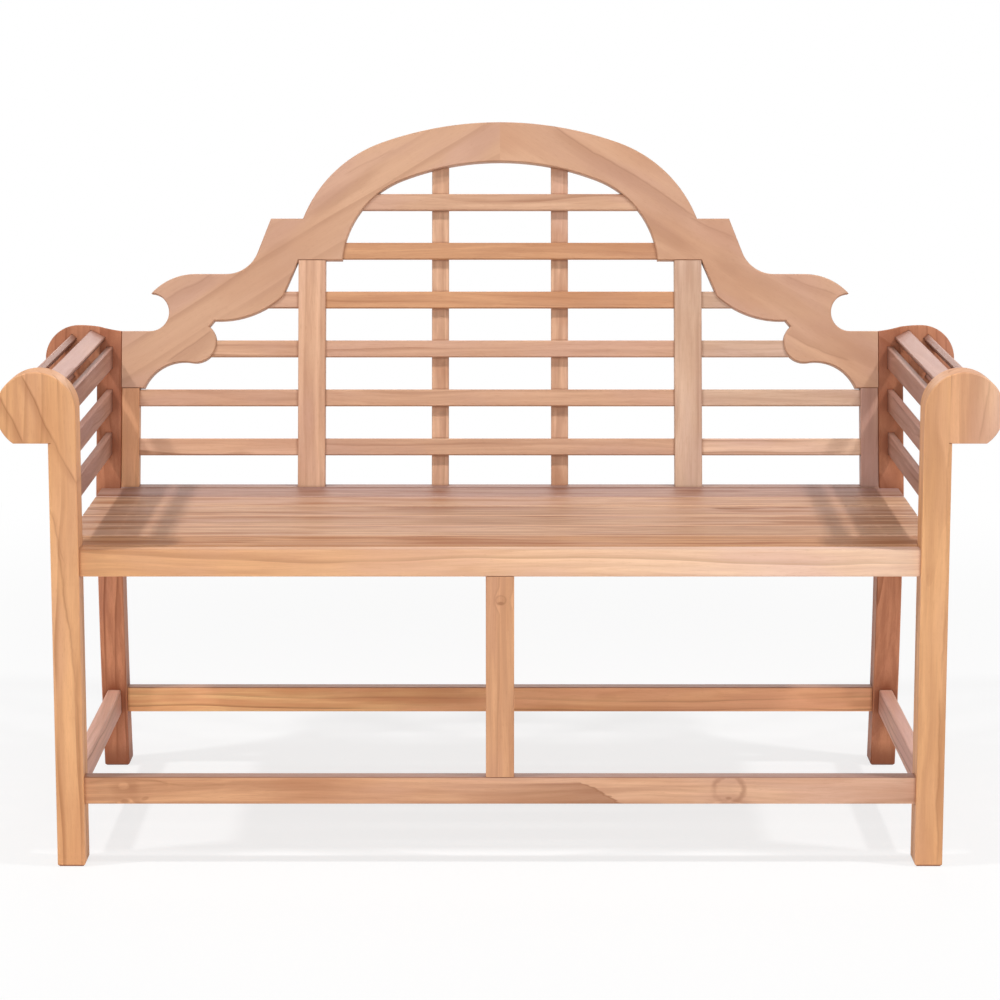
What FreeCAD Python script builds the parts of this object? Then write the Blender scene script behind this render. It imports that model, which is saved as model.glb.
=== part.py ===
import FreeCAD, Part
import Sketcher

import math
import os
import re

# Driving dimensions of the bench: millimetres, and degrees for the angles
SIZES = {
    # Legs: the rear pair bends just below the seat, kicks back at the foot and leans back above the bend
    "leg_span": 1228.0,
    "leg_width": 38.0,
    "leg_depth": 48.0,
    "rear_reach": 477.0,
    "bend_drop": 17.0,
    "foot_kick": 40.0,
    "foot_chamfer": 3.0,
    "recline": 12.0,
    # Joints
    "fit_clearance": 0.15,
    "tenon_length": 12.0,
    "tenon_thickness": 10.0,
    "tenon_shoulder": 6.0,
    "edge_radius": 2.0,
    "sawn_bevel": 1.5,
    # Seat
    "seat_height": 447.0,
    "rail_height": 38.0,
    "rail_thickness": 22.0,
    "rail_setback": 10.0,
    "rear_rail_thickness": 27.0,
    "side_thickness": 20.0,
    "end_rail_height": 36.0,
    "bearer_housing": 4.0,
    "seat_slat_thickness": 14.0,
    "seat_slat_gap": 6.0,
    "seat_slat_inset": 10.0,
    # Lower frame
    "stretcher_rise": 87.0,
    "stretcher_height": 38.5,
    "stretcher_housing": 10.0,
    "rear_stretcher_setback": 36.0,
    "centre_post_width": 39.0,
    # Rolled arms, their axis a lift above the second row of back slats
    "arm_lift": 60.9,
    "scroll_radius": 54.0,
    "scroll_cut": 10.0,
    "scroll_housing": 4.0,
    "rear_scroll_radius": 50.0,
    "rear_scroll_reach": 66.0,
    "ogee_step": 6.8,
    "ogee_hollow": 0.7,
    "ogee_crown": 0.7,
    "arm_slat_width": 33.0,
    "arm_slat_thickness": 10.0,
    "arm_slat_housing": 8.0,
    "roll_slat_width": 25.0,
    "roll_slat_inset": 14.0,
    "roll_lean_angle": 26.0,
    "roll_step_angle": 76.0,
    # Back: heights run up the reclined front face, reaches run in from the rear leg
    "back_thickness": 24.0,
    "stile_width": 27.0,
    "post_width": 41.5,
    "post_reach": 268.5,
    "bar_centre": 91.0,
    "bar_width": 26.0,
    "bar_lap": 14.0,
    "upright_shoulder": 2.5,
    "back_slat_height": 25.5,
    "back_slat_thickness": 10.0,
    "back_slat_setback": 3.0,
    "back_slat_rise": 61.1,
    "back_slat_pitch": 74.8,
    "back_slat_housing": 10.0,
    "back_slat_margin": 1.7,
    "top_slat_inset": 18.5,
    "lobe_slat_inset": 13.0,
    "stub_slat_lap": 39.0,
    # Crest's upper edge, from the end block along hook, ledge, cove and shoulder to the arch
    "block_lift": 40.8,
    "notch_height": 57.5,
    "notch_lean": 1.5,
    "hook_tip_reach": 44.0,
    "hook_drop": 29.8,
    "hook_length": 67.0,
    "ledge_width": 47.0,
    "cove_drop": 32.9,
    "cove_width": 48.0,
    "shoulder_lift": 64.0,
    "shoulder_width": 49.0,
    "haunch_drop": 31.4,
    "haunch_inset": 59.5,
    "crown_depth": 60.4,
    # Crest's lower edge, from the end block along scotia, lobe, apron and knee to the arch
    "block_nib": 7.0,
    "scotia_rise": 14.9,
    "lobe_drop": 21.6,
    "lobe_reach": 108.0,
    "lobe_rise": 22.0,
    "lobe_lift": 33.9,
    "lobe_lean": 25.0,
    "lobe_step": 8.8,
    "lobe_nib": 7.5,
    "apron_rise": 11.1,
    "knee_lift": 5.6,
    "knee_width": 23.5,
    "spring_width": 25.5,
    "under_haunch_inset": 91.5,
    "under_haunch_drop": 28.0,
    "arch_height": 62.5,
    "dowel_diameter": 10.0,
    "dowel_length": 60.0,
    "dowel_edge": 18.0,
}

# Positions and directions closer than this count as the same
NEAR = 0.01

# How many of each slat
SEAT_SLATS = 6
POST_ROWS = 4
STILE_ROWS = 2
ROLL_SLATS = 3
SIDE_SLATS = 3

doc = FreeCAD.newDocument("garden_bench")
sheet = doc.addObject("Spreadsheet::Sheet", "Sizes")
for row, (alias, size) in enumerate(SIZES.items(), start=1):
    sheet.set(f"A{row}", alias)
    sheet.set(f"B{row}", str(size))
    sheet.setAlias(f"B{row}", alias)
doc.recompute()

# Places that several pieces share, as formulas of the sizes
COS = "cos(recline * 1 deg)"
SIN = "sin(recline * 1 deg)"
TAN = "tan(recline * 1 deg)"
BEND = "(seat_height - bend_drop)"
SEAT_LINE = f"(bend_drop / {COS})"


def row_centre(row):
    """How far up the back a row of slats lies."""
    return f"({SEAT_LINE} + back_slat_rise + {row} * back_slat_pitch)"


ARM_ROW = STILE_ROWS - 1
UNDER_CROWN = f"({row_centre(POST_ROWS + 1)} + arch_height)"
CROWN_TOP = f"({UNDER_CROWN} + crown_depth)"
FRONT = f"(-(rear_reach + {CROWN_TOP} * {SIN} + back_thickness * {COS}) / 2)"
REAR = f"({FRONT} + rear_reach)"
LEG_OUTER = "(leg_span / 2)"
LEG_INNER = "(leg_span / 2 - leg_width)"
REAR_SCROLL = f"({row_centre(ARM_ROW)} + arm_lift)"
SCROLL_HEIGHT = f"({BEND} + {REAR_SCROLL} * {COS})"
SCROLL_X = f"({LEG_INNER} + scroll_radius)"
GLUE_X = f"({LEG_OUTER} - scroll_housing)"
BLOCK_TOP = f"({REAR_SCROLL} + block_lift)"
BLOCK_BOTTOM = f"({row_centre(ARM_ROW)} + back_slat_height / 2 + back_slat_margin)"
POST_TOP = f"({row_centre(POST_ROWS)} - back_slat_height / 2 - back_slat_margin)"
POST_OUTER = f"({LEG_INNER} - post_reach)"
POST_INNER = f"({POST_OUTER} - post_width)"
STILE_INNER = f"({LEG_INNER} - stile_width)"
SPRING_X = f"({POST_INNER} - spring_width)"
LOBE_X = f"({LEG_INNER} - lobe_reach)"
KNEE_X = f"({POST_OUTER} + knee_width)"
RAIL_REAR = "(rail_setback + rail_thickness)"
BEARER_TOP = "(seat_height - seat_slat_thickness)"
STRETCHER_TOP = "(stretcher_rise + stretcher_height)"
FOOT_SWEEP = f"(foot_kick * (({BEND} - {STRETCHER_TOP}) / {BEND})^2)"


def formula(text):
    """The text with each size's name pointed at its cell."""
    return re.sub(r"[a-z][a-z_]*", lambda m: f"Sizes.{m[0]}" if m[0] in SIZES else m[0], text)


def value(text):
    """The number that a formula gives now."""
    found = sheet.evalExpression(formula(text))
    return float(getattr(found, "Value", found))


def bind(thing, path, text):
    thing.setExpression(path, formula(text))


def grow(span, by):
    """A span of two formulas, made longer at both ends."""
    return (f"({span[0]}) - ({by})", f"({span[1]}) + ({by})")


def middle(span, thickness):
    """A span of the given thickness about the middle of another."""
    centre = f"(({span[0]}) + ({span[1]})) / 2"
    return (f"{centre} - ({thickness}) / 2", f"{centre} + ({thickness}) / 2")


def both(half):
    """A span that reaches as far to the left as to the right."""
    return (f"-({half})", f"({half})")


# Frames: the bench itself, its reclined back, and the axis of the rolled arm
def place_in_bench(thing, corner):
    for axis, text in zip("xyz", (corner[0], f"{FRONT} + ({corner[1]})", corner[2])):
        bind(thing, f"Placement.Base.{axis}", text)


def place_in_back(thing, corner):
    x, y, z = corner
    thing.Placement = FreeCAD.Placement(
        FreeCAD.Vector(), FreeCAD.Rotation(FreeCAD.Vector(-1, 0, 0), value("recline"))
    )
    bind(thing, "Placement.Base.x", x)
    bind(thing, "Placement.Base.y", f"{REAR} + ({y}) * {COS} + ({z}) * {SIN}")
    bind(thing, "Placement.Base.z", f"{BEND} - ({y}) * {SIN} + ({z}) * {COS}")
    bind(thing, "Placement.Rotation.Angle", "recline * 1 deg")


def on_roll(lean):
    """The frame that turns about the right arm's axis by a lean in degrees."""

    def place(thing, corner):
        x, y, z = corner
        turn = f"({lean}) * 1 deg"
        thing.Placement = FreeCAD.Placement(
            FreeCAD.Vector(), FreeCAD.Rotation(FreeCAD.Vector(0, 1, 0), value(lean))
        )
        bind(thing, "Placement.Base.x", f"{SCROLL_X} + ({x}) * cos({turn}) + ({z}) * sin({turn})")
        bind(thing, "Placement.Base.y", f"{FRONT} + ({y})")
        bind(thing, "Placement.Base.z", f"{SCROLL_HEIGHT} - ({x}) * sin({turn}) + ({z}) * cos({turn})")
        bind(thing, "Placement.Rotation.Angle", turn)

    return place


# Building blocks
def block(name, x, y, z, place=place_in_bench):
    """A plain timber block over three spans of its frame."""
    box = doc.addObject("Part::Box", name)
    for side, span in (("Length", x), ("Width", y), ("Height", z)):
        bind(box, side, f"({span[1]}) - ({span[0]})")
    place(box, (x[0], y[0], z[0]))
    return box


def eased(base, axis, kind="Fillet", size="edge_radius"):
    """A block with its four long edges rounded or bevelled."""
    doc.recompute()
    along = base.Placement.Rotation.multVec(FreeCAD.Vector(axis))
    ease = value(size)
    chosen = []
    for number, edge in enumerate(base.Shape.Edges, start=1):
        if edge.tangentAt(edge.FirstParameter).cross(along).Length < NEAR:
            chosen.append((number, ease, ease))
    easing = doc.addObject("Part::" + kind, base.Name + "_eased")
    easing.Base = base
    easing.Edges = chosen
    return easing


def joined(name, pieces):
    union = doc.addObject("Part::MultiFuse", name)
    union.Shapes = pieces
    union.Refine = True
    return union


def cut(name, base, tools):
    group = doc.addObject("Part::Compound", name + "_cuts")
    group.Links = tools
    carved = doc.addObject("Part::Cut", name)
    carved.Base = base
    carved.Tool = group
    return carved


def mirrored(name, source):
    image = doc.addObject("Part::Mirroring", name)
    image.Source = source
    image.Normal = (1, 0, 0)
    return image


PIECES = []


def finish(name, piece):
    """Give a finished piece its label and put it on the list."""
    piece.Label = name
    PIECES.append(piece)
    return piece


def finish_pair(name, right):
    finish(name + "_right", right)
    finish(name + "_left", mirrored(name + "_left", right))


X_AXIS, Y_AXIS, Z_AXIS = (1, 0, 0), (0, 1, 0), (0, 0, 1)
CLEAR = "fit_clearance"


def tenoned(name, spans, axis, thin):
    """A timber with a tenon on both ends, and the tool that cuts its mortises."""
    shoulders = []
    for k, span in enumerate(spans):
        if axis[k]:
            shoulders.append(grow(span, "tenon_length"))
        elif thin[k]:
            shoulders.append(middle(span, "tenon_thickness"))
        else:
            shoulders.append(grow(span, "-tenon_shoulder"))
    timber = eased(block(name + "_timber", *spans), axis)
    tongue = block(name + "_tongue", *shoulders)
    mortise = block(name + "_mortise", *[grow(span, CLEAR) for span in shoulders])
    return joined(name, [timber, tongue]), mortise


def housed(name, spans, axis, place=place_in_bench):
    """A timber let in whole at both ends, and the tool that cuts its housings."""
    timber = eased(block(name + "_timber", *spans, place), axis, "Chamfer", "sawn_bevel")
    housing = block(name + "_housing", *[grow(span, CLEAR) for span in spans], place)
    return timber, housing


# Outlines: each corner is (x, y, arc to the next corner or None)
def rise(text, side):
    """An arc by its rise over the chord; side +1 bulges to the left of the way round."""
    return ("rise", text, side)


def radius(text, side):
    """An arc of less than half a circle by its radius."""
    return ("radius", text, side)


def level_radius(run, drop):
    """The radius of an arc that is level at one end and comes down by a drop over a run."""
    return f"((({run})^2 + ({drop})^2) / (2 * ({drop})))"


def onward_radius(run, drop, lead):
    """The radius of an arc that goes on smoothly from one that was level and fell by lead over its run."""
    turned = f"(({drop}) * (1 - ({lead})^2) - 2 * ({run}) * ({lead}))"
    return f"((({run})^2 + ({drop})^2) * (1 + ({lead})^2) / (2 * {turned}))"


def arc_geometry(start, end, arc):
    """The arc's circle radius as a formula, and a point halfway along it."""
    (x0, y0), (x1, y1) = start, end
    kind, text, side = arc
    dx, dy = value(x1) - value(x0), value(y1) - value(y0)
    chord = math.hypot(dx, dy)
    if kind == "rise":
        bulge = value(text)
        size = f"((({x1}) - ({x0}))^2 + (({y1}) - ({y0}))^2) / (8 * ({text})) + ({text}) / 2"
    else:
        bulge = value(text) - math.sqrt(value(text) ** 2 - chord**2 / 4)
        size = text
    half_x = (value(x0) + value(x1)) / 2 - side * bulge * dy / chord
    half_y = (value(y0) + value(y1)) / 2 + side * bulge * dx / chord
    return size, FreeCAD.Vector(half_x, half_y, 0)


def outline(body, plane, corners):
    """A closed sketch of lines and arcs, every corner held by the sheet."""
    sketch = body.newObject("Sketcher::SketchObject", body.Name + "_outline")
    support = next(f for f in body.Origin.OriginFeatures if f.Role == plane)
    sketch.AttachmentSupport = (support, "")
    sketch.MapMode = "FlatFace"
    ends = []
    for k, (x, y, arc) in enumerate(corners):
        x1, y1, _ = corners[(k + 1) % len(corners)]
        start = FreeCAD.Vector(value(x), value(y), 0)
        end = FreeCAD.Vector(value(x1), value(y1), 0)
        if arc is None:
            ends.append((sketch.addGeometry(Part.LineSegment(start, end)), 1, 2))
            continue
        size, half = arc_geometry((x, y), (x1, y1), arc)
        if arc[2] > 0:
            edge = sketch.addGeometry(Part.Arc(end, half, start))
            ends.append((edge, 2, 1))
        else:
            edge = sketch.addGeometry(Part.Arc(start, half, end))
            ends.append((edge, 1, 2))
        held = sketch.addConstraint(Sketcher.Constraint("Radius", edge, value(size)))
        bind(sketch, f"Constraints[{held}]", size)
    for k, (edge, first, last) in enumerate(ends):
        following, start, _ = ends[(k + 1) % len(ends)]
        sketch.addConstraint(Sketcher.Constraint("Coincident", edge, last, following, start))
        for kind, text, axis in (("DistanceX", corners[k][0], -2), ("DistanceY", corners[k][1], -1)):
            if abs(value(text)) < NEAR:
                sketch.addConstraint(Sketcher.Constraint("PointOnObject", edge, first, axis))
                continue
            held = sketch.addConstraint(Sketcher.Constraint(kind, -1, 1, edge, first, value(text)))
            bind(sketch, f"Constraints[{held}]", text)
    return sketch


def plate(name, plane, corners, thickness, place, corner):
    """A body cut from board: an outline padded to its thickness."""
    body = doc.addObject("PartDesign::Body", name)
    sketch = outline(body, plane, corners)
    pad = body.newObject("PartDesign::Pad", name + "_pad")
    pad.Profile = sketch
    pad.Reversed = plane == "XZ_Plane"
    bind(pad, "Length", thickness)
    place(body, corner)
    doc.recompute()
    return body


def dressed(body, kind, size, wanted):
    """Round or bevel the body's edges that answer a test on their middle point and direction."""
    base = body.Tip
    names = []
    for number, edge in enumerate(base.Shape.Edges, start=1):
        halfway = (edge.FirstParameter + edge.LastParameter) / 2
        if wanted(edge.valueAt(halfway), edge.tangentAt(halfway)):
            names.append(f"Edge{number}")
    feature = body.newObject("PartDesign::" + kind, f"{body.Name}_{kind.lower()}")
    feature.Base = (base, names)
    bind(feature, "Radius" if kind == "Fillet" else "Size", size)
    doc.recompute()
    return feature


# A front leg ends in the inner part of a round scroll, and the block glued outside it completes the scroll
FRONT_FLAT = f"{SCROLL_HEIGHT} - (scroll_radius - scroll_cut)"
FRONT_FLAT_END = f"{SCROLL_X} + sqrt(scroll_radius^2 - (scroll_radius - scroll_cut)^2)"
FRONT_GLUE_TOP = f"{SCROLL_HEIGHT} + sqrt(scroll_radius^2 - ({SCROLL_X} - {GLUE_X})^2)"
front_leg_corners = [
    (LEG_INNER, "0", None),
    (LEG_OUTER, "0", None),
    (LEG_OUTER, FRONT_FLAT, None),
    (GLUE_X, FRONT_FLAT, None),
    (GLUE_X, FRONT_GLUE_TOP, radius("scroll_radius", -1)),
    (LEG_INNER, SCROLL_HEIGHT, None),
]
front_scroll_corners = [
    (GLUE_X, FRONT_FLAT, None),
    (FRONT_FLAT_END, FRONT_FLAT, radius("scroll_radius", -1)),
    (f"{SCROLL_X} + scroll_radius", SCROLL_HEIGHT, radius("scroll_radius", -1)),
    (GLUE_X, FRONT_GLUE_TOP, None),
]

# A rear leg ends level with the crest's block, and an ogee climbs from there to the rear scroll
REAR_SCROLL_X = f"({LEG_INNER} + rear_scroll_reach)"
REAR_FLAT = f"{REAR_SCROLL} - (rear_scroll_radius - scroll_cut)"
REAR_FLAT_END = f"{REAR_SCROLL_X} + sqrt(rear_scroll_radius^2 - (rear_scroll_radius - scroll_cut)^2)"
REAR_GLUE_TOP = f"{BLOCK_TOP} + ogee_step"
rear_leg_corners = [
    (LEG_INNER, "0", None),
    (LEG_OUTER, "0", None),
    (LEG_OUTER, REAR_FLAT, None),
    (GLUE_X, REAR_FLAT, None),
    (GLUE_X, REAR_GLUE_TOP, rise("ogee_hollow", 1)),
    (LEG_INNER, BLOCK_TOP, None),
]
rear_scroll_corners = [
    (GLUE_X, REAR_FLAT, None),
    (REAR_FLAT_END, REAR_FLAT, radius("rear_scroll_radius", -1)),
    (f"{REAR_SCROLL_X} + rear_scroll_radius", REAR_SCROLL, radius("rear_scroll_radius", -1)),
    (REAR_SCROLL_X, f"{REAR_SCROLL} + rear_scroll_radius", rise("ogee_crown", -1)),
    (GLUE_X, REAR_GLUE_TOP, None),
]


def outer_edge(point, direction):
    """True on a scroll board's long edges, away from its glued faces and its foot."""
    glued = value(GLUE_X) - NEAR < point.x < value(LEG_OUTER) - NEAR
    return abs(direction.y) < NEAR and not glued and point.z > 2 * value("foot_chamfer")


def foot_edge(point, direction):
    """True on the edges that stand on the ground."""
    return point.z < NEAR


def long_edge(point, direction):
    """True on the sabre-curved edges of a rear leg, above the foot's bevel."""
    return abs(direction.z) > abs(direction.y) and point.z > 2 * value("foot_chamfer")


def scroll_board(name, corners, place, foot=False):
    """A scroll-topped board with eased edges, and a bevelled foot where it stands on the ground."""
    board = plate(name, "XZ_Plane", corners, "leg_depth", place, ("0", "0", "0"))
    if foot:
        dressed(board, "Chamfer", "foot_chamfer", foot_edge)
    dressed(board, "Chamfer", "sawn_bevel", outer_edge)
    return board


# Rails, stretchers and posts of the lower frame
SIDE_X = middle((LEG_INNER, LEG_OUTER), "side_thickness")
RAIL_Z = ("seat_height - rail_height", "seat_height")
RAIL_Y = ("rail_setback", RAIL_REAR)
STRETCHER_Z = ("stretcher_rise", STRETCHER_TOP)
BEARER_Z = (RAIL_Z[0], BEARER_TOP)

front_rail, front_rail_mortise = tenoned("front_rail", (both(LEG_INNER), RAIL_Y, RAIL_Z), X_AXIS, Y_AXIS)
rear_rail, rear_rail_mortise = tenoned(
    "rear_rail",
    (both(LEG_INNER), ("rear_reach", "rear_reach + rear_rail_thickness"), RAIL_Z),
    X_AXIS,
    Y_AXIS,
)
END_RAIL_Y = ("leg_depth", "rear_reach")
END_RAIL_Z = (f"{BEARER_TOP} - end_rail_height", BEARER_TOP)
end_rail, end_rail_mortise = tenoned("end_rail", (SIDE_X, END_RAIL_Y, END_RAIL_Z), Y_AXIS, X_AXIS)
front_stretcher, front_stretcher_mortise = tenoned(
    "front_stretcher_bar", (both(LEG_INNER), RAIL_Y, STRETCHER_Z), X_AXIS, Y_AXIS
)
REAR_STRETCHER_Y = (
    "rear_reach + rear_stretcher_setback",
    "rear_reach + rear_stretcher_setback + rail_thickness",
)
rear_stretcher, rear_stretcher_mortise = tenoned(
    "rear_stretcher_bar", (both(LEG_INNER), REAR_STRETCHER_Y, STRETCHER_Z), X_AXIS, Y_AXIS
)
END_STRETCHER_Y = ("leg_depth - stretcher_housing", f"rear_reach + {FOOT_SWEEP} + stretcher_housing")
end_stretcher, end_stretcher_housing = housed(
    "end_stretcher_bar", (SIDE_X, END_STRETCHER_Y, STRETCHER_Z), Y_AXIS
)
centre_post, centre_post_mortise = tenoned(
    "centre_post",
    (both("centre_post_width / 2"), RAIL_Y, (STRETCHER_TOP, RAIL_Z[0])),
    Z_AXIS,
    Y_AXIS,
)
BEARER_Y = (f"{RAIL_REAR} - bearer_housing", "rear_reach + bearer_housing")
bearer, bearer_housing = housed("bearer", (both("side_thickness / 2"), BEARER_Y, BEARER_Z), Y_AXIS)

# Seat slats, the front one notched round the legs
slat_width = f"((rear_reach - {RAIL_REAR} - {SEAT_SLATS + 1} * seat_slat_gap) / {SEAT_SLATS})"
SEAT_X = both(f"{LEG_OUTER} - seat_slat_inset")
SEAT_Z = (BEARER_TOP, "seat_height")
right_notch = (f"{LEG_INNER} - fit_clearance", LEG_OUTER)
left_notch = (f"-{LEG_OUTER}", f"fit_clearance - {LEG_INNER}")
for k in range(SEAT_SLATS):
    start = f"({RAIL_REAR} + seat_slat_gap + {k} * ({slat_width} + seat_slat_gap))"
    across = (start, f"{start} + {slat_width}")
    slat = eased(block(f"seat_slat_{k + 1}_timber", SEAT_X, across, SEAT_Z), X_AXIS)
    if k == 0:
        notch_y = ("0", "leg_depth + fit_clearance")
        notches = [
            block(f"seat_slat_notch_{n}", x, notch_y, grow(SEAT_Z, CLEAR))
            for n, x in enumerate((right_notch, left_notch))
        ]
        slat = cut("seat_slat_1_notched", slat, notches)
    finish(f"seat_slat_{k + 1}", slat)

# Slats of the arms: three round the roll, three down the side
ARM_X = middle((LEG_INNER, LEG_OUTER), "arm_slat_thickness")
ARM_FRONT = "leg_depth - arm_slat_housing"


def arm_rear(height):
    """Where a slat at this height ends inside the reclined rear leg."""
    return f"rear_reach + ({height} - {BEND}) * {TAN} + arm_slat_housing"


roll_housings = []
for k in range(ROLL_SLATS):
    lean = f"({k} * roll_step_angle - roll_lean_angle)"
    outer = "scroll_radius - roll_slat_inset"
    height = f"({SCROLL_HEIGHT} + ({outer} - arm_slat_thickness / 2) * cos({lean} * 1 deg))"
    across, along = both("roll_slat_width / 2"), (ARM_FRONT, arm_rear(height))
    spans = (across, along, (f"{outer} - arm_slat_thickness", outer))
    slat, housing = housed(f"arm_roll_slat_{k + 1}", spans, Y_AXIS, on_roll(lean))
    finish_pair(f"arm_roll_slat_{k + 1}", slat)
    roll_housings.append(housing)

side_housings = []
for k in range(SIDE_SLATS):
    height = f"({SCROLL_HEIGHT} - {k} * ({SCROLL_HEIGHT} - seat_height) / {SIDE_SLATS})"
    tall = (f"{height} - arm_slat_width / 2", f"{height} + arm_slat_width / 2")
    slat, housing = housed(f"arm_side_slat_{k + 1}", (ARM_X, (ARM_FRONT, arm_rear(height)), tall), Y_AXIS)
    finish_pair(f"arm_side_slat_{k + 1}", slat)
    side_housings.append(housing)

# Slats of the back
BACK_SLAT_Y = ("back_slat_setback", "back_slat_setback + back_slat_thickness")
HOUSING = "back_slat_housing"


def row_span(row):
    centre = row_centre(row)
    return (f"{centre} - back_slat_height / 2", f"{centre} + back_slat_height / 2")


centre_ends = [f"{POST_INNER} + {HOUSING}"] * POST_ROWS
centre_ends += [f"{SPRING_X} + {HOUSING}", f"{SPRING_X} - top_slat_inset"]
centre_housings = []
for row, end in enumerate(centre_ends):
    slat, housing = housed(
        f"back_slat_{row + 1}", (both(end), BACK_SLAT_Y, row_span(row)), X_AXIS, place_in_back
    )
    finish(f"back_slat_{row + 1}", slat)
    centre_housings.append(housing)

side_ends = [f"{STILE_INNER} + {HOUSING}"] * STILE_ROWS
side_ends += [f"{LOBE_X} - lobe_slat_inset", f"{KNEE_X} + stub_slat_lap"]
wing_housings = []
for row, end in enumerate(side_ends):
    spans = ((f"{POST_OUTER} - {HOUSING}", end), BACK_SLAT_Y, row_span(row))
    slat, housing = housed(f"wing_slat_{row + 1}", spans, X_AXIS, place_in_back)
    finish_pair(f"wing_slat_{row + 1}", slat)
    wing_housings.append(housing)

# Uprights of the back: scribed to the rear rail's level top, with a tongue let into it
UPRIGHT_LEAD = "(2 * tenon_length)"


def upright(name, x, y, top, tenon=None):
    """A reclined upright, the tool for its foot mortise and the tool for its top mortise."""
    tall = (f"{SEAT_LINE} - {UPRIGHT_LEAD}", top)
    timber = eased(block(name + "_timber", x, y, tall, place_in_back), Z_AXIS)
    below = block(
        name + "_scribe",
        grow(x, "tenon_shoulder"),
        ("rear_reach - leg_depth", "rear_reach + 2 * leg_depth"),
        ("seat_height - rail_height - 2 * tenon_length", "seat_height"),
    )
    foot = (grow(x, "-tenon_shoulder"), grow(y, "-upright_shoulder"))
    foot_z = (f"{SEAT_LINE} - tenon_length", f"{SEAT_LINE} + tenon_length")
    parts = [cut(name + "_scribed", timber, [below]), block(name + "_foot", *foot, foot_z, place_in_back)]
    foot_mortise = block(name + "_foot_mortise", *[grow(s, CLEAR) for s in (*foot, foot_z)], place_in_back)
    if not tenon:
        return joined(name, parts), foot_mortise, None
    head_z = (f"{top} - tenon_length", f"{top} + tenon_length")
    parts.append(block(name + "_head", *foot, head_z, place_in_back))
    head_mortise = block(name + "_head_mortise", *[grow(s, CLEAR) for s in (*foot, head_z)], place_in_back)
    return joined(name, parts), foot_mortise, head_mortise


BACK_Y = ("0", "back_thickness")
BAR_X = ("bar_centre - bar_width / 2", "bar_centre + bar_width / 2")
BAR_Y = (BACK_SLAT_Y[1], "back_thickness")
stile, stile_foot, stile_head = upright("stile", (STILE_INNER, LEG_INNER), BACK_Y, BLOCK_BOTTOM, tenon=True)
post, post_foot, post_head = upright("post", (POST_INNER, POST_OUTER), BACK_Y, POST_TOP, tenon=True)
bar, bar_foot, _ = upright("bar", BAR_X, BAR_Y, f"{UNDER_CROWN} + bar_lap")
finish_pair("back_stile", cut("stile_carved", stile, wing_housings[:STILE_ROWS]))
finish_pair("back_post", cut("post_carved", post, centre_housings[:POST_ROWS] + wing_housings))
finish_pair("back_bar", bar)

# Crest: two mirrored boards that meet on dowels at the crown
HOOK_TIP_X = f"({LEG_INNER} - hook_tip_reach)"
HOOK_X = f"({HOOK_TIP_X} - hook_length)"
LEDGE_X = f"({HOOK_X} - ledge_width)"
COVE_X = f"({LEDGE_X} - cove_width)"
HAUNCH_X = f"({SPRING_X} - haunch_inset)"
LOBE_END_X = f"({LOBE_X} - lobe_lean)"
HOOK_TIP = f"({BLOCK_TOP} + notch_height)"
LEDGE_TOP = f"({HOOK_TIP} + hook_drop)"
COVE_TOP = f"({LEDGE_TOP} + cove_drop)"
SHOULDER_TOP = f"({POST_TOP} + shoulder_lift)"
HAUNCH_TOP = f"({CROWN_TOP} - haunch_drop)"
UNDER_HAUNCH_X = f"({SPRING_X} - under_haunch_inset)"
UNDER_HAUNCH = f"({UNDER_CROWN} - under_haunch_drop)"
LOBE_END = f"({row_centre(STILE_ROWS)} + lobe_lift)"

# The shoulder comes down on the line that the cove goes on from, and the arch's foot stands on the shoulder
COVE_LINE = "((cove_width^2 - cove_drop^2) / (2 * cove_width * cove_drop))"
SHOULDER_X = f"({COVE_X} - ({SHOULDER_TOP} - {COVE_TOP}) * {COVE_LINE})"
ARCH_FOOT_X = f"({SHOULDER_X} - shoulder_width)"
CROWN_RADIUS = level_radius(HAUNCH_X, "haunch_drop")
HAUNCH_RADIUS = onward_radius(
    f"{ARCH_FOOT_X} - {HAUNCH_X}", f"{HAUNCH_TOP} - {SHOULDER_TOP}", f"haunch_drop / {HAUNCH_X}"
)
UNDER_CROWN_RADIUS = level_radius(UNDER_HAUNCH_X, "under_haunch_drop")
UNDER_HAUNCH_RADIUS = onward_radius(
    "under_haunch_inset", f"{UNDER_HAUNCH} - {POST_TOP}", f"under_haunch_drop / {UNDER_HAUNCH_X}"
)
crest_corners = [
    ("0", CROWN_TOP, radius(CROWN_RADIUS, 1)),
    (HAUNCH_X, HAUNCH_TOP, radius(HAUNCH_RADIUS, 1)),
    (ARCH_FOOT_X, SHOULDER_TOP, None),
    (SHOULDER_X, SHOULDER_TOP, None),
    (COVE_X, COVE_TOP, radius(level_radius("cove_width", "cove_drop"), -1)),
    (LEDGE_X, LEDGE_TOP, None),
    (HOOK_X, LEDGE_TOP, radius(level_radius("hook_length", "hook_drop"), 1)),
    (HOOK_TIP_X, HOOK_TIP, radius(level_radius("notch_lean", "notch_height"), -1)),
    (f"{HOOK_TIP_X} + notch_lean", BLOCK_TOP, None),
    (LEG_INNER, BLOCK_TOP, None),
    (LEG_INNER, BLOCK_BOTTOM, None),
    (f"{STILE_INNER} - block_nib", BLOCK_BOTTOM, rise("scotia_rise", -1)),
    (LOBE_X, f"{row_centre(STILE_ROWS)} - lobe_drop", rise("lobe_rise", 1)),
    (LOBE_END_X, LOBE_END, None),
    (f"{LOBE_END_X} - lobe_nib", f"{LOBE_END} + lobe_step", rise("apron_rise", 1)),
    (KNEE_X, f"{row_centre(POST_ROWS - 1)} + knee_lift", None),
    (POST_OUTER, POST_TOP, None),
    (SPRING_X, POST_TOP, radius(UNDER_HAUNCH_RADIUS, -1)),
    (UNDER_HAUNCH_X, UNDER_HAUNCH, radius(UNDER_CROWN_RADIUS, -1)),
    ("0", UNDER_CROWN, None),
]


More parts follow.
